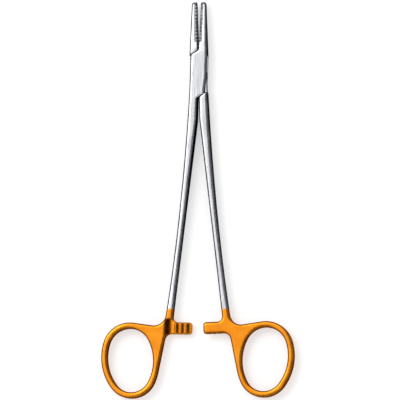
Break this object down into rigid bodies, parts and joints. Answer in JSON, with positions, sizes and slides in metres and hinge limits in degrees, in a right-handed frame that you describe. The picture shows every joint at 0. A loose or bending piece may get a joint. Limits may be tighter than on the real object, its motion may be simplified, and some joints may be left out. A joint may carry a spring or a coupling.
{
  "type": "surgical needle holder",
  "caption": "Slim box-lock needle holder with ring handles, facing ratchet arms and cross-hatched jaw inserts for gripping a suture needle.",
  "frame": {"origin": "on the pivot's axis, in the plane of the lower box face that the instrument lies on", "axes": "+Y from the pivot to the jaw tips, +Z along the pivot's axis away from the table, +X to the side of the half whose jaw is on the left"},
  "size_m": [0.088, 0.1792, 0.006],
  "materials": {
    "box_half_steel": "satin stainless steel, rings and ratchet end gold plated",
    "tenon_half_steel": "satin stainless steel, rings and ratchet end gold plated",
    "pin_steel": "stainless steel ground flush",
    "box_jaw_carbide": "dark grey sintered tungsten carbide with cut cross hatching",
    "tenon_jaw_carbide": "dark grey sintered tungsten carbide with cut cross hatching"
  },
  "bodies": {
    "box_half": {"box_half": "box_half_steel", "pivot_pin": "pin_steel", "box_jaw_insert": "box_jaw_carbide"},
    "tenon_half": {"tenon_half": "tenon_half_steel", "tenon_jaw_insert": "tenon_jaw_carbide"}
  },
  "joints": [
    {"name": "box_lock", "type": "hinge", "parent": "box_half", "child": "tenon_half", "pos_m": [0, 0, 0.003], "axis": [0, 0, 1], "range_deg": [-3.2, 50]}
  ]
}
